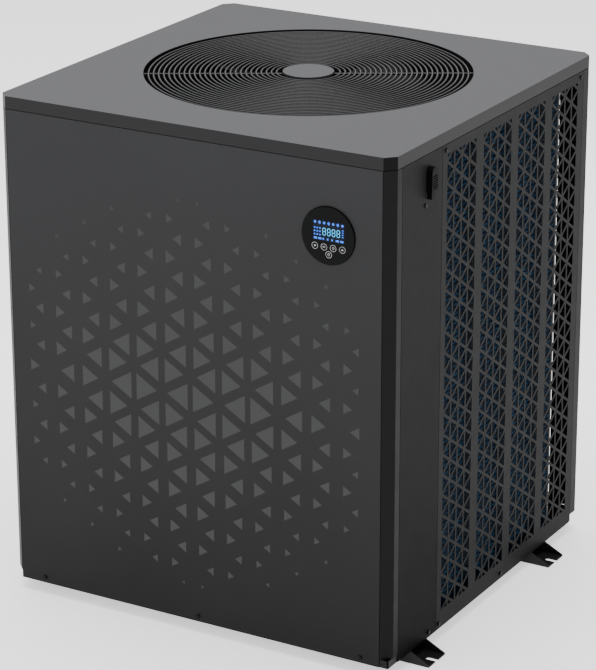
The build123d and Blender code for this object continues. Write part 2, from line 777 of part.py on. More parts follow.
with BuildPart() as compressor:
    rod((compressor_x, bay_y, compressor_bottom + compressor_height / 2), "Z",
        compressor_radius, compressor_height)
    fillet(compressor.edges().filter_by(GeomType.CIRCLE), 26)
    block(compressor_x - 75, compressor_x + 75, bay_y - 75, bay_y + 75,
          compressor_bottom - 6, compressor_bottom - 2)
    rod((compressor_x, bay_y, compressor_bottom), "Z", 58, 12)
    rod((compressor_x + discharge_dx, bay_y + discharge_dy, discharge_top - 8), "Z",
        pipe_radius + 2, 16)
    rod((compressor_x - 10, bay_y - 22, compressor_bottom + compressor_height), "Z", 24, 30)
    for x in (-bolt_offset, bolt_offset):
        for y in (-bolt_offset, bolt_offset):
            rod((compressor_x + x, bay_y + y, compressor_bottom - 4), "Z", bolt_radius + 3, 10,
                mode=Mode.SUBTRACT)
save(compressor, "compressor")

with BuildPart() as compressor_grommets:
    for x in (-bolt_offset, bolt_offset):
        for y in (-bolt_offset, bolt_offset):
            with BuildSketch(level(floor_top + lay)):
                with Locations((compressor_x + x, bay_y + y)):
                    Circle(grommet_radius)
                    Circle(bolt_radius + lay, mode=Mode.SUBTRACT)
            extrude(amount=compressor_bottom - 6 - floor_top - 2 * lay)
            with BuildSketch(level(compressor_bottom - 6 - lay)):
                with Locations((compressor_x + x, bay_y + y)):
                    Circle(bolt_radius + 2.7)
                    Circle(bolt_radius + lay, mode=Mode.SUBTRACT)
            extrude(amount=4 + 2 * lay)
save(compressor_grommets, "compressor_grommets")

# Hexagon bolts: tray to foot channels, compressor to tray, motor to rails.
with BuildPart() as hex_bolts:
    for y in foot_rows:
        for x in (-foot_bolt_x, foot_bolt_x):
            rod((x, y, tray_bottom - 1), "Z", foot_bolt_radius, 14)
            with BuildSketch(level(floor_top + lay)):
                with Locations((x, y)):
                    RegularPolygon(7.5, 6)
            extrude(amount=5)
    for x in (-bolt_offset, bolt_offset):
        for y in (-bolt_offset, bolt_offset):
            at = (compressor_x + x, bay_y + y)
            rod((*at, floor_top + 15), "Z", bolt_radius, 29)
            with BuildSketch(level(compressor_bottom - 2 + 2 * lay)):
                with Locations(at):
                    RegularPolygon(8, 6)
            extrude(amount=5)
    for x in (-motor_bolt_x, motor_bolt_x):
        for side in (-1, 1):
            y = fan_y + side * rail_y
            rod((x, y, rail_top - 1), "Z", 3.0, 22)
            with BuildSketch(level(rail_top + lug_thickness + 2 * lay)):
                with Locations((x, y)):
                    RegularPolygon(6, 6)
            extrude(amount=4.5)
save(hex_bolts, "hex_bolts")

accumulator_x = compressor_x + compressor_radius + 44.0
accumulator_radius = 36.0
accumulator_bottom = floor_top + 70.0
accumulator_height = 210.0
with BuildPart() as accumulator:
    rod((accumulator_x, bay_y, accumulator_bottom + accumulator_height / 2), "Z",
        accumulator_radius, accumulator_height)
    fillet(accumulator.edges().filter_by(GeomType.CIRCLE), 18)
    rod((accumulator_x, bay_y, accumulator_bottom + accumulator_height + 4), "Z",
        pipe_radius + 2, 12)
    elbow_z = accumulator_bottom - 16
    rod((accumulator_x, bay_y, accumulator_bottom - 7), "Z", pipe_radius, 18)
    with Locations((accumulator_x, bay_y, elbow_z)):
        Sphere(pipe_radius)
    elbow_start = compressor_x + compressor_radius + lay
    rod(((elbow_start + accumulator_x) / 2, bay_y, elbow_z), "X", pipe_radius,
        accumulator_x - elbow_start)
    block(accumulator_x - accumulator_radius - 7.4, accumulator_x - accumulator_radius + 4,
          bay_y - 12, bay_y + 12, accumulator_bottom + 90, accumulator_bottom + 115)
save(accumulator, "accumulator")

# ================================================================ four-way valve
valve_radius = 14.0
valve_bore = 11.0
valve_half = 48.0
valve_end = 5.0
stub_length = 16.0
slide_fit = 0.06               # radial clearance of the slide in its bore
slide_length = 44.0
with BuildPart() as four_way_valve:
    rod((valve_x, bay_y, valve_z), "X", valve_radius, 2 * valve_half)
    rod((valve_x, bay_y, valve_z + valve_radius + stub_length / 2 - 3), "Z", pipe_radius,
        stub_length + 6)
    for k in (-1, 0, 1):
        rod((valve_x + k * stub_pitch, bay_y, valve_z - valve_radius - stub_length / 2 + 3), "Z",
            pipe_radius, stub_length + 6)
    rod((valve_x, bay_y - 24, valve_z + 8), "X", 11, 52)
    block(valve_x - 8, valve_x + 8, bay_y - 24, bay_y, valve_z + 2, valve_z + 12)
    rod((valve_x, bay_y, valve_z), "X", valve_bore, 2 * (valve_half - valve_end),
        mode=Mode.SUBTRACT)
save(four_way_valve, "four_way_valve")

slide_start = valve_x - valve_half + valve_end + 1.0
with BuildPart() as valve_slide:
    rod((slide_start + slide_length / 2, bay_y, valve_z), "X", valve_bore - slide_fit, slide_length)
    block(slide_start + 8, slide_start + slide_length - 8, bay_y - valve_bore, bay_y + valve_bore,
          valve_z, valve_z + valve_bore, mode=Mode.SUBTRACT)
save(valve_slide, "valve_slide")

# ================================================================ water heat exchanger
exchanger_x = -190.0
exchanger_radius = 80.0
exchanger_wall = 5.0
exchanger_top = water_z[1] + 72.0
titanium_radius = 6.5
titanium_coil_radius = 52.0
titanium_pitch = 34.0
titanium_turns = 9
titanium_low = water_z[0] - 10.0
titanium_high = titanium_low + titanium_pitch * titanium_turns
exchanger_face = exchanger_x - exchanger_radius

with BuildPart() as exchanger_shell:
    shell_height = exchanger_top - floor_top - lay
    rod((exchanger_x, bay_y, floor_top + lay + shell_height / 2), "Z", exchanger_radius,
        shell_height)
    fillet(exchanger_shell.edges().filter_by(GeomType.CIRCLE), 4)
    rod((exchanger_x, bay_y, floor_top + lay + shell_height / 2), "Z",
        exchanger_radius - exchanger_wall, shell_height - 4 * exchanger_wall, mode=Mode.SUBTRACT)
    for z in water_z:
        rod((exchanger_face, bay_y, z), "X", water_pipe_radius + lay, 24, mode=Mode.SUBTRACT)
    for x in (exchanger_x, exchanger_x + titanium_coil_radius):
        rod((x, bay_y, exchanger_top), "Z", titanium_radius + lay, 60, mode=Mode.SUBTRACT)
save(exchanger_shell, "exchanger_shell")

tail_top = exchanger_top + 14.0
with BuildPart() as titanium_coil:
    with BuildLine(Plane(origin=(exchanger_x, bay_y, titanium_low))) as turns:
        Helix(titanium_pitch, titanium_high - titanium_low, titanium_coil_radius)
    with BuildSketch(Plane(origin=turns.line @ 0, z_dir=turns.line % 0)):
        Circle(titanium_radius)
    sweep(path=turns.line, is_frenet=True)
    for x, low in ((exchanger_x + titanium_coil_radius, titanium_high), (exchanger_x, titanium_low)):
        rod((x, bay_y, (low + tail_top) / 2), "Z", titanium_radius, tail_top - low)
    rod((exchanger_x + titanium_coil_radius / 2, bay_y, titanium_low), "X", titanium_radius,
        titanium_coil_radius)
save(titanium_coil, "titanium_coil")

# ================================================================ refrigerant pipes
expansion_y = bay_y + 34.0
expansion_half = 22.0
expansion_radius = 11.0
bend = 16.0                    # centre line radius of the pipe bends
partition_back_y = wall_y + 46.0
coil_inner = right - coil_setback - coil_depth - lay


def pipe(points, radius):
    """Round pipe along straight runs joined by bends, in the current part."""
    with BuildLine() as path:
        FilletPolyline(*points, radius=bend)
    with BuildSketch(Plane(origin=path.line @ 0, z_dir=path.line % 0)) as section:
        Circle(radius)
    sweep(section.sketch, path=path.line)


valve_top = valve_z + valve_radius + stub_length
valve_low = valve_z - valve_radius - stub_length
with BuildPart() as discharge_pipe:
    start_x, start_y = compressor_x + discharge_dx, bay_y + discharge_dy
    loop_z = valve_top + 40
    pipe([(start_x, start_y, discharge_top + lay), (start_x, start_y, loop_z),
          (valve_x, bay_y, loop_z), (valve_x, bay_y, valve_top + lay)], pipe_radius)
save(discharge_pipe, "discharge_pipe")

with BuildPart() as suction_pipe:
    run_z = valve_low - 56
    pipe([(valve_x, bay_y, valve_low - lay), (valve_x, bay_y, run_z),
          (accumulator_x, bay_y, run_z),
          (accumulator_x, bay_y, accumulator_bottom + accumulator_height + 10 + lay)], pipe_radius)
save(suction_pipe, "suction_pipe")

with BuildPart() as gas_pipes:
    pipe([(gas_line_x, bay_y, valve_low - lay), (gas_line_x, bay_y, gas_line_z),
          (gas_line_x, partition_back_y, gas_line_z), (coil_inner, partition_back_y, gas_line_z)],
         pipe_radius)
    far_x = valve_x - stub_pitch
    pipe([(far_x, bay_y, valve_low - lay), (far_x, bay_y, gas_line_z - 10),
          (0, bay_y, gas_line_z - 10), (0, bay_y, tail_top + 36),
          (exchanger_x + titanium_coil_radius, bay_y, tail_top + 36),
          (exchanger_x + titanium_coil_radius, bay_y, tail_top + lay)], pipe_radius)
save(gas_pipes, "gas_pipes")

with BuildPart() as expansion_valve:
    rod((expansion_x, expansion_y, expansion_z), "Z", expansion_radius, 2 * expansion_half)
    rod((expansion_x, expansion_y, expansion_z + expansion_half + 15), "Z", 19, 34)
    rod((expansion_x, expansion_y, expansion_z - expansion_half - 3), "Z", liquid_radius + 1.5, 12)
    rod((expansion_x, expansion_y + 11, expansion_z), "Y", liquid_radius + 1.5, 12)
save(expansion_valve, "expansion_valve")

with BuildPart() as liquid_pipes:
    drop_x = expansion_x - 40
    pipe([(exchanger_x, bay_y, tail_top + lay), (exchanger_x, bay_y, tail_top + 66),
          (drop_x, expansion_y, tail_top + 66), (drop_x, expansion_y, expansion_z - 64),
          (expansion_x, expansion_y, expansion_z - 64),
          (expansion_x, expansion_y, expansion_z - expansion_half - 9 - lay)], liquid_radius)
    pipe([(expansion_x, expansion_y + 17 + lay, expansion_z),
          (expansion_x, partition_back_y, expansion_z), (-coil_inner, partition_back_y, expansion_z)],
         liquid_radius)
save(liquid_pipes, "liquid_pipes")

# ================================================================ water connections
pipe_inner_end = exchanger_face + 4.0
union_reach = 30.0             # how far a union stands out past the cabinet's side
socket_depth = 30.0
union_end = left - union_reach
union_shoulder = union_end + socket_depth
union_inner_end = left + 12.0
flow_x = left + 58.0
flow_hole = 12.0
flow_pivot_z = water_z[0] + 40.0

with BuildPart() as water_pipes:
    pipe_start = union_shoulder + 3
    for z in water_z:
        rod(((pipe_start + pipe_inner_end) / 2, water_y, z), "X", water_pipe_radius,
            pipe_inner_end - pipe_start)
    for z in water_z:
        rod(((pipe_start + pipe_inner_end) / 2, water_y, z), "X",
            water_pipe_radius - water_pipe_wall, pipe_inner_end - pipe_start, mode=Mode.SUBTRACT)
    rod((flow_x, water_y, water_z[0] + water_pipe_radius), "Z", flow_hole, 20, mode=Mode.SUBTRACT)
save(water_pipes, "water_pipes")

with BuildPart() as water_unions:
    for z in water_z:
        rod(((union_end + union_inner_end) / 2, water_y, z), "X", socket_radius + socket_wall,
            union_inner_end - union_end)
        rod((union_end + socket_depth / 2, water_y, z), "X", socket_radius, socket_depth,
            mode=Mode.SUBTRACT)
        rod((union_end, water_y, z), "X", water_pipe_radius - water_pipe_wall, 200,
            mode=Mode.SUBTRACT)
        rod((union_shoulder + 2.5 + 50, water_y, z), "X", socket_radius, 100, mode=Mode.SUBTRACT)
save(water_unions, "water_unions")

pivot_radius = 2.0
pivot_fit = 0.05               # radial running clearance of the paddle's pin
flow_wall = 5.0
with BuildPart() as flow_switch:
    flow_low = water_z[0] + sqrt(water_pipe_radius ** 2 - (flow_hole + flow_wall) ** 2)
    flow_high = flow_pivot_z + 12
    with BuildSketch(level(flow_low)):
        with Locations((flow_x, water_y)):
            Circle(flow_hole + flow_wall)
            Circle(flow_hole, mode=Mode.SUBTRACT)
    extrude(amount=flow_high - flow_low)
    block(flow_x - 20, flow_x + 20, water_y - 17, water_y + 17, flow_high, flow_high + 36)
    rod((flow_x, water_y, water_z[0]), "X", water_pipe_radius + lay, 60, mode=Mode.SUBTRACT)
    rod((flow_x, water_y, flow_pivot_z), "Y", pivot_radius + pivot_fit,
        2 * (flow_hole + flow_wall) - 3, mode=Mode.SUBTRACT)
save(flow_switch, "flow_switch")

paddle_radius = 14.0
with BuildPart() as flow_paddle:
    paddle_z = water_z[0] - 2
    with BuildSketch(facing_right(flow_x - 1)):
        rectangle(water_y - 5, paddle_z, water_y + 5, flow_pivot_z)
        with Locations((water_y, paddle_z)):
            Circle(paddle_radius)
    extrude(amount=2)
    rod((flow_x, water_y, flow_pivot_z), "Y", pivot_radius, 2 * (flow_hole + flow_wall) - 4)
    rod((flow_x, water_y, flow_pivot_z), "Y", pivot_radius + 2, 2 * flow_hole - 5)
save(flow_paddle, "flow_paddle")

# ================================================================ cable gland
gland_bore = 7.0
with BuildPart() as cable_gland:
    rod((left, water_y, gland_z), "X", gland_radius, 26)
    with BuildSketch(facing_right(left - lay)):
        with Locations((water_y, gland_z)):
            RegularPolygon(16, 6)
    extrude(amount=-8)
    rod((left - 14, water_y, gland_z), "X", 13.5, 14)
    with BuildSketch(facing_right(left + sheet + lay)):
        with Locations((water_y, gland_z)):
            RegularPolygon(16, 6)
    extrude(amount=5)
    rod((left, water_y, gland_z), "X", gland_bore, 80, mode=Mode.SUBTRACT)
save(cable_gland, "cable_gland")

# ================================================================ electrical box
box_sheet = 1.2
box_x = (232.0, 364.0)
box_y = (front + 27.5, wall_y - 17.0)
box_z = (roof_z + wall_sheet + lay, cover_bottom - 21.0)

with BuildPart() as electrical_box:
    block(*box_x, *box_y, *box_z)
    block(box_x[0] + box_sheet, box_x[1] + 1, box_y[0] + box_sheet, box_y[1] - box_sheet,
          box_z[0] + box_sheet, box_z[1] - box_sheet, mode=Mode.SUBTRACT)
    rod((box_x[0] + 60, (box_y[0] + box_y[1]) / 2, box_z[0]), "Z", 10, 10, mode=Mode.SUBTRACT)
save(electrical_box, "electrical_box")

with BuildPart() as electrical_box_cover:
    lid_x = box_x[1] + lay
    block(lid_x, lid_x + box_sheet, *box_y, *box_z)
    block(lid_x - 8, lid_x, box_y[0] + box_sheet + lay, box_y[1] - box_sheet - lay,
          box_z[1] - 2 * box_sheet - lay, box_z[1] - box_sheet - lay)
save(electrical_box_cover, "electrical_box_cover")

board_x = box_x[0] + box_sheet + 8.0
board_y = (box_y[0] + 6.0, box_y[0] + 80.0)
board_z = (box_z[0] + 9.0, box_z[1] - 9.0)
with BuildPart() as control_board:
    block(board_x, board_x + 1.6, *board_y, *board_z)
    for y in (board_y[0] + 5, board_y[1] - 5):
        for z in (board_z[0] + 5, board_z[1] - 5):
            rod(((box_x[0] + box_sheet + lay + board_x) / 2, y, z), "X", 3,
                board_x - box_x[0] - box_sheet - lay)
    part_top = board_x + 1.6
    block(part_top, part_top + 24, board_y[0] + 12, board_y[0] + 40, board_z[0] + 14,
          board_z[0] + 42)
    block(part_top, part_top + 16, board_y[0] + 12, board_y[0] + 64, board_z[0] + 54,
          board_z[0] + 70)
    rod((part_top + 14, board_y[0] + 24, board_z[0] + 94), "X", 11, 28)
    rod((part_top + 14, board_y[0] + 50, board_z[0] + 94), "X", 11, 28)
    block(part_top, part_top + 12, board_y[0] + 12, board_y[0] + 64, board_z[1] - 22, board_z[1] - 10)
save(control_board, "control_board")

contactor_y = (board_y[1] + 6.0, box_y[1] - box_sheet - 4.0)
contactor_z = (box_z[0] + 92.0, box_z[0] + 158.0)
contactor_x = (box_x[0] + box_sheet + lay, box_x[0] + 56.0)
plunger_y = 10.0
plunger_z = 16.0
plunger_gap = 0.35
plunger_travel = 3.0
contactor_mid_y = (contactor_y[0] + contactor_y[1]) / 2
contactor_mid_z = (contactor_z[0] + contactor_z[1]) / 2
plunger_back = contactor_x[1] - 10.0
with BuildPart() as contactor:
    block(*contactor_x, *contactor_y, *contactor_z)
    for z in (contactor_z[0], contactor_z[1] - 12):
        block(contactor_x[1] - 12, contactor_x[1] + 1, contactor_y[0] - 1, contactor_y[1] + 1,
              z - 1, z + 13, mode=Mode.SUBTRACT)
    block(plunger_back - plunger_travel - 0.5, contactor_x[1] + 1,
          contactor_mid_y - plunger_y / 2 - plunger_gap,
          contactor_mid_y + plunger_y / 2 + plunger_gap,
          contactor_mid_z - plunger_z / 2 - plunger_gap,
          contactor_mid_z + plunger_z / 2 + plunger_gap, mode=Mode.SUBTRACT)
save(contactor, "contactor")

with BuildPart() as contactor_plunger:
    block(plunger_back, contactor_x[1] + 4, contactor_mid_y - plunger_y / 2,
          contactor_mid_y + plunger_y / 2, contactor_mid_z - plunger_z / 2,
          contactor_mid_z + plunger_z / 2)
save(contactor_plunger, "contactor_plunger")

with BuildPart() as terminal_block:
    ways = 4
    way_pitch = 9.5
    terminal_z = (box_z[0] + 22.0, box_z[0] + 56.0)
    terminal_x = (box_x[0] + box_sheet + lay, box_x[0] + 30.0)
    block(*terminal_x, contactor_mid_y - ways * way_pitch / 2 - 1,
          contactor_mid_y + ways * way_pitch / 2 + 1, *terminal_z)
    for k in range(ways):
        y = contactor_mid_y + (k - (ways - 1) / 2) * way_pitch
        block(terminal_x[1] - 9, terminal_x[1] + 1, y - 3.5, y + 3.5, terminal_z[0] - 1,
              terminal_z[0] + 11, mode=Mode.SUBTRACT)
        block(terminal_x[1] - 9, terminal_x[1] + 1, y - 3.5, y + 3.5, terminal_z[1] - 11,
              terminal_z[1] + 1, mode=Mode.SUBTRACT)
save(terminal_block, "terminal_block")

# ================================================================ controller
face_thickness = 1.2
rim_outer = front - lay
face_back = front - control_proud + face_thickness
with BuildPart() as controller_body:
    with BuildSketch(facing_front(rim_outer)):
        with Locations((control_x, control_z)):
            Circle(control_radius)
    extrude(amount=rim_outer - face_back - lay)
    with BuildSketch(facing_front(rim_outer)):
        with Locations((control_x, control_z)):
            Circle(control_neck)
    extrude(amount=-control_depth)
save(controller_body, "controller_body")

with BuildPart() as controller_face:
    with BuildSketch(facing_front(face_back)):
        with Locations((control_x, control_z)):
            Circle(control_radius - 1.0)
    extrude(amount=face_thickness)
    fillet(controller_face.edges().group_by(Axis.Y)[0], 0.5)
save(controller_face, "controller_face")

# ================================================================ ambient sensor
sensor_half = 10.5             # half width of the housing
sensor_proud = 11.0
stub_half = 6.0
stub_proud = 8.0
stub_height = 13.0
sensor_height = 42.0
louvre_count = 6
louvre_pitch = 4.2
sensor_wall = 1.5
sensor_back = right + lay
body_low = sensor_bottom + stub_height

with BuildPart() as sensor_housing:
    with BuildSketch(facing_right(sensor_back)):
        rectangle(sensor_y - sensor_half, body_low, sensor_y + sensor_half,
                  body_low + sensor_height - sensor_half)
        with Locations((sensor_y, body_low + sensor_height - sensor_half)):
            Circle(sensor_half)
    extrude(amount=sensor_proud)
    with BuildSketch(facing_right(sensor_back)):
        inner = sensor_half - sensor_wall
        rectangle(sensor_y - inner, body_low + sensor_wall, sensor_y + inner,
                  body_low + sensor_height - sensor_half)
        with Locations((sensor_y, body_low + sensor_height - sensor_half)):
            Circle(inner)
    extrude(amount=sensor_proud - sensor_wall, mode=Mode.SUBTRACT)
    for k in range(louvre_count):
        z = body_low + 5 + k * louvre_pitch
        block(sensor_back + 2, right + 2 * sensor_proud, sensor_y - 8.5, sensor_y + 8.5, z, z + 1.8,
              mode=Mode.SUBTRACT)
    block(sensor_back, sensor_back + stub_proud, sensor_y - stub_half, sensor_y + stub_half,
          sensor_bottom, body_low + 1)
save(sensor_housing, "sensor_housing")

with BuildPart() as sensor_probe:
    rod((right - 2, sensor_y, sensor_hole_z), "X", 3.5, 12)
    with BuildSketch(level(sensor_hole_z - 3)):
        with Locations((right + 4.0, sensor_y)):
            Circle(2.5)
    extrude(amount=18)
save(sensor_probe, "sensor_probe")

# ================================================================ panel screws
with BuildPart() as panel_screws:
    small_screw = [(right, sensor_y - 11.5, sensor_bottom - 10, "X", -1)]
    for x, y, z, axis, inwards in low_screws + high_screws + small_screw:
        along = (1, 0) if axis == "X" else (0, 1)
        mid = inwards * screw_length / 2
        out = -inwards * (lay + 0.9)
        rod((x + along[0] * mid, y + along[1] * mid, z), axis, screw_radius,
            screw_length + 2 * lay)
        rod((x + along[0] * out, y + along[1] * out, z), axis, screw_head, 1.8)
save(panel_screws, "panel_screws")
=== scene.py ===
import bpy
import bmesh
from math import cos, sin, pi, radians
from mathutils import Matrix, Vector


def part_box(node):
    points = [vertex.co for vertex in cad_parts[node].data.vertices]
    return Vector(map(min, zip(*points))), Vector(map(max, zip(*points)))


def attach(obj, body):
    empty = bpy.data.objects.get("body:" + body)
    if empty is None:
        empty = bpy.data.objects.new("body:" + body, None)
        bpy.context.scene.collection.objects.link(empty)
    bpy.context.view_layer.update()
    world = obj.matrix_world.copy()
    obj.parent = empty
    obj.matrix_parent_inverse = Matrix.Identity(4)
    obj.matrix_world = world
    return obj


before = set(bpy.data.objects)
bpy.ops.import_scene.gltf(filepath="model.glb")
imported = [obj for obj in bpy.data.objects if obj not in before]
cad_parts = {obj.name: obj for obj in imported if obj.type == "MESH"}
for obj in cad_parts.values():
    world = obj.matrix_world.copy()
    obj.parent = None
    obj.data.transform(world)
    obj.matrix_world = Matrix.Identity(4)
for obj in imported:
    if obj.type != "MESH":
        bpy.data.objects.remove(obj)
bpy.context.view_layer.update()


# ---------------------------------------------------------------- cabinet sheets
# Folded steel tray, corner posts and flat panels, all in one dark grey powder coat with
# a faint orange-peel skin. The posts are screwed to the tray and the panels to the posts.
# Painted light and shade: each sheet is painted lighter at the top and darker towards the
# bottom, and the side panels and posts are painted in darker copies of the coat.
class Shade:
    """One shader value that can be added, subtracted and multiplied."""

    def __init__(self, finish, link):
        self.finish = finish
        self.link = link

    def combine(self, operation, first, second):
        return self.finish.node("ShaderNodeMath", {"operation": operation}, {0: first, 1: second})

    def __add__(self, other):
        return self.combine("ADD", self, other)

    def __sub__(self, other):
        return self.combine("SUBTRACT", self, other)

    def __mul__(self, other):
        return self.combine("MULTIPLY", self, other)


class Finish:
    """A surface finish built from shader nodes."""

    def __init__(self, name):
        self.material = bpy.data.materials.new(name)
        self.material.use_nodes = True
        self.tree = self.material.node_tree
        self.surface = self.tree.nodes["Principled BSDF"]

    def node(self, kind, settings, inputs, out=0):
        made = self.tree.nodes.new(kind)
        for key, value in settings.items():
            if key == "stops":
                ramp = made.color_ramp
                while len(ramp.elements) < len(value):
                    ramp.elements.new(0.5)
                for stop, (at, grey) in zip(ramp.elements, value):
                    stop.position = at
                    stop.color = (*grey, 1) if isinstance(grey, tuple) else (grey, grey, grey, 1)
            else:
                setattr(made, key, value)
        for key, value in inputs.items():
            if isinstance(value, Shade):
                self.tree.links.new(value.link, made.inputs[key])
            else:
                made.inputs[key].default_value = value
        return Shade(self, made.outputs[out])

    def place(self):
        return self.node("ShaderNodeTexCoord", {}, {}, "Object")

    def noise(self, scale, detail=3.0, where=None):
        where = where or self.place()
        return self.node("ShaderNodeTexNoise", {},
                         {"Vector": where, "Scale": scale, "Detail": detail})

    def blend(self, share, first, second):
        first = (*first, 1) if isinstance(first, tuple) else first
        second = (*second, 1) if isinstance(second, tuple) else second
        return self.node("ShaderNodeMix", {"data_type": "RGBA"},
                         {0: share, 6: first, 7: second}, 2)

    def bump(self, height, depth, strength=1.0):
        return self.node("ShaderNodeBump", {},
                         {"Height": height, "Distance": depth, "Strength": strength})

    def show(self, **values):
        for key, value in values.items():
            socket = self.surface.inputs[key.replace("_", " ")]
            if isinstance(value, Shade):
                self.tree.links.new(value.link, socket)
            elif isinstance(value, tuple):
                socket.default_value = (*value, 1)
            else:
                socket.default_value = value
        return self.material


def scaled(colour, factor):
    return tuple(part * factor for part in colour)


peel_scale = 700.0      # fineness of the orange-peel skin
peel_depth = 0.00012


def powder_coat(name, colour, rough=0.5, spread=0.08, grain=peel_scale, gloss=0.22):
    """Baked powder coat: faint patches, a fine orange-peel skin and slightly uneven gloss."""
    coat = Finish(name)
    patches = coat.noise(5.0, 4.0)
    skin = coat.noise(grain, 2.0)
    scuffs = coat.noise(38.0, 6.0)
    tone = coat.blend(patches, scaled(colour, 1 - spread), scaled(colour, 1 + spread))
    return coat.show(Base_Color=tone, Roughness=skin * 0.10 + scuffs * 0.10 + (rough - 0.10),
                     Specular_IOR_Level=gloss, Normal=coat.bump(skin, peel_depth, 0.6))


def height_shaded_coat(name, colour, low_share, high_share, bottom=0.03, top=0.90, gloss=0.22):
    """Powder coat on a tall sheet, with painted light: lighter at the top and darker towards the
    bottom.
    """
    coat = Finish(name)
    skin = coat.noise(peel_scale, 2.0)
    scuffs = coat.noise(38.0, 6.0)
    height = coat.node("ShaderNodeSeparateXYZ", {}, {0: coat.place()}, "Z")
    height_shade = coat.node("ShaderNodeMapRange", {}, {0: height, 1: bottom, 2: top})
    tone = coat.blend(height_shade + (coat.noise(5.0, 4.0) - 0.5) * 0.25,
                      scaled(colour, low_share), scaled(colour, high_share))
    return coat.show(Base_Color=tone, Roughness=skin * 0.10 + scuffs * 0.10 + 0.40,
                     Specular_IOR_Level=gloss, Normal=coat.bump(skin, peel_depth, 0.6))


def dress(material, *names):
    """Give CAD nodes a finish."""
    for name in names:
        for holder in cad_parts[name].material_slots:
            holder.material = material


panel_grey = (0.0170, 0.0172, 0.0182)
# Painted light and shade: the front panel and tray get the lit copy of the coat, the side panels
# and the posts darker shaded copies.
panel_coat = height_shaded_coat("panel_coat", panel_grey, 0.30, 1.45, gloss=0.15)
dress(panel_coat, "front_panel", "base_tray")
shaded_side_coat = height_shaded_coat("shaded_side_coat", panel_grey, 0.03, 0.95, gloss=0.03)
dress(shaded_side_coat, "service_panel", "connection_panel")
shaded_post_coat = height_shaded_coat("shaded_post_coat", panel_grey, 0.15, 0.30, gloss=0.10)
dress(shaded_post_coat, "front_left_post", "front_right_post", "rear_left_post", "rear_right_post")


# ---------------------------------------------------------------- feet
# Two pressed steel channels that lie across under the tray, in a near-black coat.
foot_coat = powder_coat("foot_coat", (0.006, 0.006, 0.0065), rough=0.5)
dress(foot_coat, "front_foot", "rear_foot")


# ---------------------------------------------------------------- printed pattern
# Triangles printed on the front panel in one lighter grey ink. They stand in pairs,
# largest in the middle, and shrink towards the panel's edges.
panel_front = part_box("front_panel")[0][1]
ink_lift = 0.00006
row_middle = 0.4406
first_gap = 0.0057
row_pitch = 0.0344
pair_pitch = 0.1142
pair_start = -0.0029
tri_width = 0.0571
tri_height = 0.0688
outermost = (0.352, 0.320, 0.350, 0.315, 0.325, 0.307, 0.256, 0.269, 0.213, 0.158, 0.079)


def triangle_size(row, across):
    """Share of full size that a triangle has in its row, at a distance from the middle."""
    share = 0.718 if row == 0 else 0.70 - 0.05 * row
    if row >= 3:
        share -= 0.95 * max(0.0, across - 0.025)
    else:
        share -= 2.2 * max(0.0, across - 0.140)
    if row == 10:
        share *= 0.5
    if across > 0.335:
        share *= 0.45
    return max(share, 0.08)


def flat_mesh(name, shapes, at):
    """Flat shapes in the upright plane y = at, facing the front, as one mesh."""
    points, faces = [], []
    for shape in shapes:
        faces.append(list(range(len(points), len(points) + len(shape))))
        points += [(x, at, z) for x, z in shape]
    mesh = bpy.data.meshes.new(name)
    mesh.from_pydata(points, [], faces)
    sheet = bmesh.new()
    sheet.from_mesh(mesh)
    sheet.normal_update()
    for face in sheet.faces:
        if face.normal.y > 0:
            face.normal_flip()
    sheet.to_mesh(mesh)
    sheet.free()
    made = bpy.data.objects.new(name, mesh)
    bpy.context.scene.collection.objects.link(made)
    return made


triangles = []
for row in range(-10, 11):
    n = abs(row)
    z = row_middle + (0.0 if n == 0 else (first_gap + row_pitch * n) * (1 if row > 0 else -1))
    for k in range(-4, 5):
        line = pair_start + pair_pitch * k + (0.0 if n % 2 == 0 else pair_pitch / 2)
        for side in (-1, 1):
            centroid = line + side * tri_width / 3
            across = abs(centroid - pair_start)
            if across > outermost[n] + 0.004:
                continue
            share = triangle_size(n, across)
            base = centroid - side * share * tri_width / 3
            tip = centroid + side * share * tri_width * 2 / 3
            half = share * tri_height / 2
            triangles.append([(base, z - half), (tip, z), (base, z + half)])
ink = Finish("pattern_ink")
speck = ink.noise(900.0, 2.0)
ink_tone = ink.blend(ink.noise(6.0), (0.028, 0.0285, 0.0295), (0.032, 0.0325, 0.0335))
pattern_ink = ink.show(Base_Color=ink_tone, Roughness=speck * 0.1 + 0.40, Specular_IOR_Level=0.22,
                       Normal=ink.bump(speck, 0.00008, 0.5))
front_pattern = flat_mesh("front_pattern", triangles, panel_front - ink_lift)
front_pattern.data.materials.append(pattern_ink)
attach(front_pattern, "cabinet")


# ---------------------------------------------------------------- grilles
# Flat steel panels punched with a triangular lattice, in the same coat, painted darker
# all over as painted shade.
shaded_grille_coat = height_shaded_coat("shaded_grille_coat", panel_grey, 0.25, 0.80, gloss=0.05)
dress(shaded_grille_coat, "right_grille", "left_grille", "rear_grille")


# ---------------------------------------------------------------- finned coils
# Packs of thin aluminium fins with a blue water-shedding coat, pressed on to copper
# tubes. The fins stand upright, and the tubes show as flat streaks through them, painted
# from a dark shadow through the blue to a bright glint: painted shade and painted highlight.
# The spaces between the fins are painted darker as painted shade.
fin_half_pitch = 0.0011
streak_half_pitch = 0.0043
fin_shadow = (0.0004, 0.0015, 0.0045)
fin_blue = (0.0006, 0.009, 0.032)
fin_glint = (0.002, 0.085, 0.19)


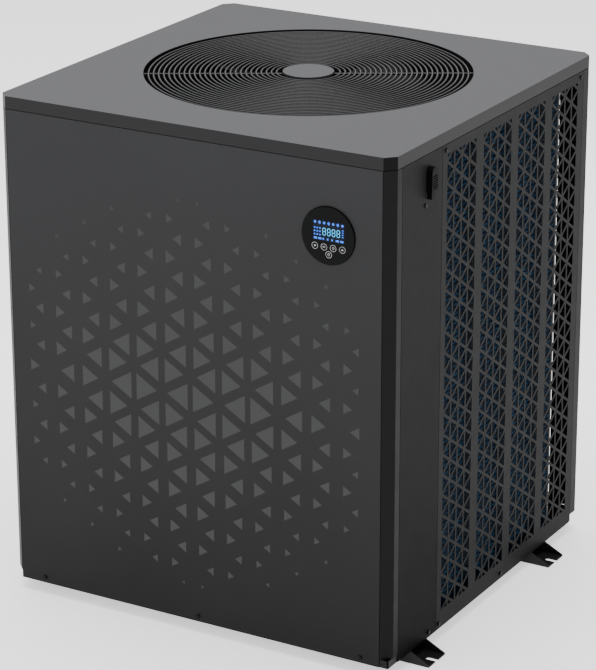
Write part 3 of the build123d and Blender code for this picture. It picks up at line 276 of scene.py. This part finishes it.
def fin_pack(name, along):
    coat = Finish(name)
    place = coat.place()
    split = coat.node("ShaderNodeSeparateXYZ", {}, {0: place}, along)
    height = coat.node("ShaderNodeSeparateXYZ", {}, {0: place}, "Z")
    fins = coat.node("ShaderNodeMath", {"operation": "PINGPONG"}, {0: split, 1: fin_half_pitch})
    fins = fins * (1 / fin_half_pitch)
    streak = coat.node("ShaderNodeMath", {"operation": "PINGPONG"},
                       {0: height, 1: streak_half_pitch})
    streak = streak * (1 / streak_half_pitch)
    wander = coat.noise(45.0, 3.0)
    # Painted shade and painted highlight: each streak runs from shadow through blue to glint.
    streak_shade_and_glint = coat.node("ShaderNodeValToRGB", {"stops": [
        (0.32, fin_shadow), (0.58, fin_blue), (0.86, fin_glint)]},
        {0: streak * 0.55 + wander * 0.5})
    # Painted shade: the spaces between the fins are darkened.
    fin_gap_shade = coat.node("ShaderNodeValToRGB", {"stops": [(0.25, 0.25), (0.6, 1.0)]}, {0: fins})
    tone = coat.node("ShaderNodeMix", {"data_type": "RGBA", "blend_type": "MULTIPLY"},
                     {0: 1.0, 6: streak_shade_and_glint, 7: fin_gap_shade}, 2)
    return coat.show(Base_Color=tone, Roughness=wander * 0.2 + 0.4, Specular_IOR_Level=0.05,
                     Normal=coat.bump(fins, 0.0005, 0.7))


side_fins = fin_pack("side_fins", "Y")
dress(side_fins, "right_coil_fins", "left_coil_fins")
back_fins = fin_pack("back_fins", "X")
dress(back_fins, "rear_coil_fins")


# ---------------------------------------------------------------- top cover and guard
# A pressed steel lid and the welded wire guard in its opening, both in one grey coat
# that is painted lighter on its upward faces and darker on its sides: painted light and
# painted shade. The plain disc in the middle is a moulded cap in the same colour.
lit_cover_grey = (0.072, 0.0725, 0.076)
cover_low, cover_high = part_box("top_cover")
chamfer = 0.017
corner_flat = cover_high[0] - cover_low[1] - chamfer
corner_step = 0.0002


def lit_top_shaded_sides(name, colour, shaded_side_share, low, high, gloss=0.22):
    """Coat with painted light: whatever faces up is painted lighter, as if lit from above.
    The sides are painted darker as shade, and the flat across the front corner darkest."""
    coat = Finish(name)
    skin = coat.noise(peel_scale, 2.0)
    facing = coat.node("ShaderNodeNewGeometry", {}, {}, "Normal")
    up = coat.node("ShaderNodeSeparateXYZ", {}, {0: facing}, "Z")
    share = coat.node("ShaderNodeMapRange", {}, {0: up, 1: low, 2: high})
    patches = coat.noise(5.0, 4.0)
    place = coat.place()
    toward_corner = coat.node("ShaderNodeVectorMath", {"operation": "DOT_PRODUCT"},
                              {0: place, 1: (1.0, -1.0, 0.0)}, "Value")
    corner = coat.node("ShaderNodeMapRange", {},
                       {0: toward_corner, 1: corner_flat - corner_step, 2: corner_flat})
    shaded_rim_tone = coat.blend(corner, scaled(colour, shaded_side_share), scaled(colour, shaded_side_share * 0.1))
    tone = coat.blend(share, shaded_rim_tone, colour)
    wear = coat.blend(patches, (0.93, 0.93, 0.93), (1.0, 1.0, 1.0))
    shade_and_wear = coat.node("ShaderNodeMix", {"data_type": "RGBA", "blend_type": "MULTIPLY"},
                     {0: 1.0, 6: tone, 7: wear}, 2)
    return coat.show(Base_Color=shade_and_wear, Roughness=skin * 0.12 + patches * 0.08 + 0.36,
                     Specular_IOR_Level=gloss, Normal=coat.bump(skin, peel_depth, 0.6))


# Painted light: the lid top and the disc are painted lighter, the lid sides and corner flat
# darker as painted shade.
cover_coat = lit_top_shaded_sides("cover_coat", lit_cover_grey, 0.30, 0.3, 0.9, gloss=0.10)
dress(cover_coat, "top_cover", "guard_centre_disc")
# Painted light: the tops of the guard rings are painted lighter, their sides darker as painted
# shade.
guard_coat = lit_top_shaded_sides("guard_coat", lit_cover_grey, 0.10, 0.80, 1.0)
dress(guard_coat, "fan_guard")


# ---------------------------------------------------------------- bright sheet metal
# Galvanised steel: motor rails, coil end plates, partition, compartment roof and
# electrical box. Cool grey zinc with large soft spangles.
def galvanised_sheet(name, colour):
    zinc = Finish(name)
    spangle = zinc.node("ShaderNodeTexVoronoi", {},
                        {"Vector": zinc.place(), "Scale": 90.0}, "Color")
    grey = zinc.node("ShaderNodeRGBToBW", {}, {0: spangle})
    brush = zinc.noise(260.0, 4.0)
    tone = zinc.blend(grey, scaled(colour, 0.82), scaled(colour, 1.1))
    return zinc.show(Base_Color=tone, Metallic=0.9, Roughness=grey * 0.16 + brush * 0.12 + 0.22,
                     Normal=zinc.bump(brush, 0.00008, 0.5))


zinc_sheet = galvanised_sheet("zinc_sheet", (0.50, 0.51, 0.53))
dress(zinc_sheet, "motor_rails", "coil_end_plates", "partition_wall",
      "compartment_roof", "electrical_box", "electrical_box_cover")


# ---------------------------------------------------------------- fan
# Steel duct in black enamel, grey enamelled motor, and a moulded axial fan with a fine
# grain, held on its bright shaft by a flanged nut.
duct_enamel_and_frame_shade = powder_coat("duct_enamel_and_frame_shade", (0.004, 0.004, 0.0045), rough=0.55)
# Painted shade: the galvanised frame under the cover is given the duct's black enamel.
dress(duct_enamel_and_frame_shade, "fan_shroud", "top_frame")
motor_enamel = powder_coat("motor_enamel", (0.012, 0.012, 0.013), rough=0.35)
dress(motor_enamel, "fan_motor")


def moulding(name, colour, rough=0.45, grain=1400.0, gloss=0.3):
    """Moulded plastic: a fine even grain, faint flow marks and a soft sheen."""
    plastic = Finish(name)
    texture = plastic.noise(grain, 2.0)
    flow = plastic.noise(9.0, 5.0)
    tone = plastic.blend(flow, scaled(colour, 0.9), scaled(colour, 1.12))
    return plastic.show(Base_Color=tone, Roughness=texture * 0.12 + flow * 0.08 + (rough - 0.1),
                        Specular_IOR_Level=gloss, Normal=plastic.bump(texture, 0.00006, 0.7))


def bare_metal(name, colour, rough=0.25, stain=0.25, grain=500.0):
    """Bare metal: fine scratches and soft stains that dull it in places."""
    metal = Finish(name)
    stains = metal.noise(24.0, 6.0)
    scratches = metal.noise(grain, 5.0)
    tone = metal.blend(stains, scaled(colour, 1 - stain), scaled(colour, 1 + stain / 2))
    dullness = stains * 0.2 + scratches * 0.1 + (rough - 0.1)
    return metal.show(Base_Color=tone, Metallic=1.0, Roughness=dullness,
                      Normal=metal.bump(scratches, 0.00004, 0.5))


fan_plastic = moulding("fan_plastic", (0.006, 0.006, 0.007))
dress(fan_plastic, "fan_blades")
stainless = bare_metal("stainless", (0.58, 0.57, 0.56))
dress(stainless, "fan_shaft", "fan_nut", "flow_paddle", "sensor_probe")
zinc_bolt = bare_metal("zinc_bolt", (0.52, 0.52, 0.53), rough=0.32)
dress(zinc_bolt, "hex_bolts")


# ---------------------------------------------------------------- refrigerant circuit
# Enamelled compressor and accumulator, brass valves, and bare copper pipes brazed
# between them and the coils, with soft darker stains here and there.
vessel_enamel = powder_coat("vessel_enamel", (0.018, 0.018, 0.02), rough=0.3)
dress(vessel_enamel, "compressor", "accumulator")
copper = bare_metal("copper", (0.62, 0.28, 0.15), rough=0.3, stain=0.4)
dress(copper, "coil_return_bends", "discharge_pipe", "suction_pipe", "gas_pipes", "liquid_pipes")
brass = bare_metal("brass", (0.62, 0.46, 0.20), rough=0.28, stain=0.2)
dress(brass, "four_way_valve", "expansion_valve")
valve_nylon = moulding("valve_nylon", (0.03, 0.03, 0.032))
dress(valve_nylon, "valve_slide", "contactor_plunger")
soft_rubber = moulding("soft_rubber", (0.015, 0.015, 0.015), rough=0.75, grain=700.0)
dress(soft_rubber, "compressor_grommets")


# ---------------------------------------------------------------- water circuit
# White PVC shell and pipes round a titanium tube coil, with grey PVC unions that come
# out through the left panel, and a black flow switch on the lower pipe.
white_pvc = moulding("white_pvc", (0.68, 0.68, 0.66), rough=0.32)
dress(white_pvc, "exchanger_shell", "water_pipes")
grey_pvc = moulding("grey_pvc", (0.12, 0.125, 0.135), rough=0.38)
dress(grey_pvc, "water_unions", "drain_nipple")
titanium = bare_metal("titanium", (0.36, 0.35, 0.34), rough=0.35)
dress(titanium, "titanium_coil")
black_moulding = moulding("black_moulding", (0.0015, 0.0015, 0.0017), rough=0.55, gloss=0.06)
dress(black_moulding, "flow_switch", "cable_gland", "controller_body", "sensor_housing")


# ---------------------------------------------------------------- electrical parts
# Green circuit board with fine tracks, and pale moulded relay and terminal bodies.
solder_mask = Finish("solder_mask")
tracks = solder_mask.node("ShaderNodeTexBrick", {}, {
    "Vector": solder_mask.place(), "Scale": 70.0, "Mortar Size": 0.03}, "Fac")
mask_tone = solder_mask.blend(tracks, (0.016, 0.11, 0.045), (0.05, 0.22, 0.09))
dress(solder_mask.show(Base_Color=mask_tone, Roughness=solder_mask.noise(120.0) * 0.2 + 0.25),
      "control_board")
relay_moulding = moulding("relay_moulding", (0.55, 0.55, 0.51), rough=0.42)
dress(relay_moulding, "contactor", "terminal_block")


# ---------------------------------------------------------------- controller
# Round printed cover over a small backlit display and touch marks, on a black body that
# clips into the front panel. The marks are lit from behind through clear ink.
face_low, face_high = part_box("controller_face")
face_x = (face_low[0] + face_high[0]) / 2
face_z = (face_low[2] + face_high[2]) / 2
face_y = face_low[1]
printed_face = Finish("printed_face")
face_skin = printed_face.noise(1600.0, 2.0)
face_tone = printed_face.blend(printed_face.noise(14.0),
                               (0.0038, 0.0040, 0.0044), (0.0050, 0.0052, 0.0056))
printed_face.show(Base_Color=face_tone, Roughness=face_skin * 0.08 + 0.34,
                  Specular_IOR_Level=0.05, Normal=printed_face.bump(face_skin, 0.00003, 0.5))
dress(printed_face.material, "controller_face")


def box_shape(x0, z0, x1, z1):
    return [(x0, z0), (x1, z0), (x1, z1), (x0, z1)]


def ring_shapes(x, z, outer, inner, start=0.0, end=2 * pi, steps=28):
    """A flat ring, or part of one, as short four-sided pieces."""
    turns = [start + (end - start) * k / steps for k in range(steps + 1)]
    return [[(x + inner * cos(a), z + inner * sin(a)), (x + outer * cos(a), z + outer * sin(a)),
             (x + outer * cos(b), z + outer * sin(b)), (x + inner * cos(b), z + inner * sin(b))]
            for a, b in zip(turns[:-1], turns[1:])]


def lit(name, low, high, strength):
    """Backlit ink: a soft glow, uneven where the light guide is."""
    glow = Finish(name)
    uneven = glow.noise(160.0, 2.0)
    tone = glow.blend(uneven, low, high)
    glow.show(Base_Color=tone, Emission_Color=tone, Emission_Strength=strength,
              Roughness=uneven * 0.1 + 0.3)
    return glow.material


window_lift = 0.00003
window_left, window_right = face_x - 0.0276, face_x + 0.0309
window_low, window_high = face_z - 0.0090, face_z + 0.0250
window_shape = [box_shape(window_left, window_low, window_right, window_high)]
display_window = flat_mesh("display_window", window_shape, face_y - window_lift)
smoked = Finish("smoked_window")
smoke_tone = smoked.blend(smoked.noise(60.0), (0.0030, 0.0045, 0.010), (0.0045, 0.007, 0.015))
display_window.data.materials.append(smoked.show(
    Base_Color=smoke_tone, Roughness=smoked.noise(300.0) * 0.05 + 0.2, Specular_IOR_Level=0.1))

# Each segment: its place across and up the digit, and whether it lies flat.
segments = {"top": (0.0, 1.0, True), "middle": (0.0, 0.5, True), "bottom": (0.0, 0.0, True),
            "upper_left": (0.0, 0.75, False), "upper_right": (1.0, 0.75, False),
            "lower_left": (0.0, 0.25, False), "lower_right": (1.0, 0.25, False)}
digit_width, digit_height, stroke = 0.0052, 0.0118, 0.0011
digit_pitch = 0.0088
digit_left, digit_bottom = window_left + 0.0180, window_low + 0.0098
flat_gap = 0.0005
upright_reach = digit_height / 4 - 0.0006
digits = []
for k in range(4):
    for across, up, flat in segments.values():
        x = digit_left + k * digit_pitch + across * digit_width
        z = digit_bottom + up * digit_height
        if flat:
            digits.append(box_shape(x + flat_gap, z - stroke / 2,
                                    x + digit_width - flat_gap, z + stroke / 2))
        else:
            digits.append(box_shape(x - stroke / 2, z - upright_reach,
                                    x + stroke / 2, z + upright_reach))
display_digits = flat_mesh("display_digits", digits, face_y - ink_lift)
cyan_light = lit("cyan_light", (0.02, 0.40, 0.78), (0.04, 0.52, 0.95), 0.9)
display_digits.data.materials.append(cyan_light)

# Small generic marks: a row of rings along the top, three rows of tabs on the left, four
# bars on the right, and a row of short blocks along the bottom.
mark_inset = 0.0014
ring_inset, ring_pitch = 0.0036, 0.0085
tab_pitch, tab_drop = 0.0050, 0.0056
bar_pitch = 0.0038
block_pitch = 0.0082
icons = []
for k in range(7):
    x = window_left + ring_inset + k * ring_pitch
    z = window_high - ring_inset
    icons += ring_shapes(x, z, 0.0023, 0.0005, steps=10)
    if k % 2:
        icons.append(box_shape(x - 0.0005, z - 0.0032, x + 0.0005, z + 0.0032))
for row in range(3):
    for column in range(3):
        x = window_left + mark_inset + column * tab_pitch
        z = window_low + 0.0192 - row * tab_drop
        icons.append([(x, z), (x + 0.0031, z + 0.0004),
                      (x + 0.0027, z + 0.0026), (x + 0.0006, z + 0.0029)])
for k in range(4):
    z = window_low + 0.0102 + k * bar_pitch
    icons.append(box_shape(window_right - 0.0048, z, window_right - 0.0018, z + 0.0016))
for k in range(7):
    x = window_left + mark_inset + k * block_pitch
    width = 0.0060 if k in (0, 1, 5, 6) else 0.0026
    icons.append(box_shape(x, window_low + 0.0014, x + width, window_low + 0.0048))
display_icons = flat_mesh("display_icons", icons, face_y - ink_lift)
blue_light = lit("blue_light", (0.001, 0.10, 0.62), (0.003, 0.17, 0.90), 0.75)
display_icons.data.materials.append(blue_light)

# Five touch marks, each a thin ring with a sign in it: down, menu, timer and up in a
# row, and the on-off sign below them.
touch_pitch = 0.0171
touch_left, touch_z = face_x - 0.0243, face_z - 0.0196
touch_row = [(touch_left + k * touch_pitch, touch_z) for k in range(4)]
touch_row.append((face_x + 0.0016, face_z - 0.0316))
ring_outer, ring_inner = 0.0058, 0.0053
arrow_half, arrow_base, arrow_tip = 0.0022, 0.0012, 0.0020
hair = 0.0003
touch = []
for k, (x, z) in enumerate(touch_row):
    touch += ring_shapes(x, z, ring_outer, ring_inner)
    if k == 0:
        touch.append([(x - arrow_half, z + arrow_base), (x, z - arrow_tip),
                      (x + arrow_half, z + arrow_base)])
    elif k == 1:
        touch += [box_shape(x - 0.0020, z - 0.0018, x - 0.0014, z + 0.0018),
                  box_shape(x - hair, z - 0.0010, x + hair, z + 0.0018),
                  box_shape(x + 0.0014, z - 0.0018, x + 0.0020, z + 0.0018)]
    elif k == 2:
        touch += ring_shapes(x, z, 0.0022, 0.0017, steps=14)
        touch.append(box_shape(x - hair, z, x + hair, z + 0.0015))
    elif k == 3:
        touch.append([(x - arrow_half, z - arrow_base), (x + arrow_half, z - arrow_base),
                      (x, z + arrow_tip)])
    else:
        touch += ring_shapes(x, z, 0.0023, 0.0018, radians(120), radians(420), 14)
        touch.append(box_shape(x - hair, z + 0.0006, x + hair, z + 0.0030))
touch_marks = flat_mesh("touch_marks", touch, face_y - window_lift)
white_ink = lit("white_ink", (0.42, 0.43, 0.44), (0.52, 0.52, 0.52), 0.15)
touch_marks.data.materials.append(white_ink)
for mark in (display_window, display_digits, display_icons, touch_marks):
    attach(mark, "cabinet")


# ---------------------------------------------------------------- panel screws
# Small pan-head screws, blackened, that hold the panels, the grilles and the cover.
screw_black = moulding("screw_black", (0.002, 0.002, 0.0022), rough=0.45, gloss=0.12)
dress(screw_black, "panel_screws")


# ---------------------------------------------------------------- floor, light, camera
# A pale studio floor that runs on to the horizon, soft lights and a long lens.
floor_mesh = bpy.data.meshes.new("studio_floor")
floor_reach = 12
floor_corners = [(-floor_reach, -floor_reach, 0), (floor_reach, -floor_reach, 0),
                 (floor_reach, floor_reach, 0), (-floor_reach, floor_reach, 0)]
floor_mesh.from_pydata(floor_corners, [], [(0, 1, 2, 3)])
studio_floor = bpy.data.objects.new("studio_floor", floor_mesh)
bpy.context.scene.collection.objects.link(studio_floor)
pale = Finish("pale_floor")
floor_tone = pale.blend(pale.noise(3.0), (0.89, 0.89, 0.89), (0.92, 0.92, 0.92))
floor_mesh.materials.append(pale.show(
    Base_Color=floor_tone, Roughness=pale.noise(40.0) * 0.1 + 0.75,
    Emission_Color=floor_tone, Emission_Strength=1.0))

sky = bpy.data.worlds.new("studio_air")
bpy.context.scene.world = sky
sky.use_nodes = True
sky.node_tree.nodes["Background"].inputs["Color"].default_value = (1, 1, 1, 1)
sky.node_tree.nodes["Background"].inputs["Strength"].default_value = 0.75


def soft_light(name, at, target, size, power):
    lamp = bpy.data.lights.new(name, "AREA")
    lamp.shape = "SQUARE"
    lamp.size = size
    lamp.energy = power
    holder = bpy.data.objects.new(name, lamp)
    holder.location = at
    holder.rotation_euler = (Vector(target) - Vector(at)).to_track_quat("-Z", "Y").to_euler()
    bpy.context.scene.collection.objects.link(holder)


soft_light("overhead", (-0.3, 0.2, 4.4), (0, 0, 0.5), 4.0, 290)
soft_light("front_wash", (-1.8, -3.6, 2.6), (0, -0.3, 0.9), 1.8, 20)

lens = bpy.data.cameras.new("long_lens")
lens.lens = 160.4
lens.clip_end = 60
camera = bpy.data.objects.new("long_lens", lens)
forward = Vector((-0.47156, 0.81120, -0.34581)).normalized()
turn = forward.to_track_quat("-Z", "Y").to_matrix() @ Matrix.Rotation(radians(-0.13), 3, "Z")
camera.matrix_world = Matrix.Translation((2.5373, -4.3493, 2.3008)) @ turn.to_4x4()
bpy.context.scene.collection.objects.link(camera)
bpy.context.scene.camera = camera
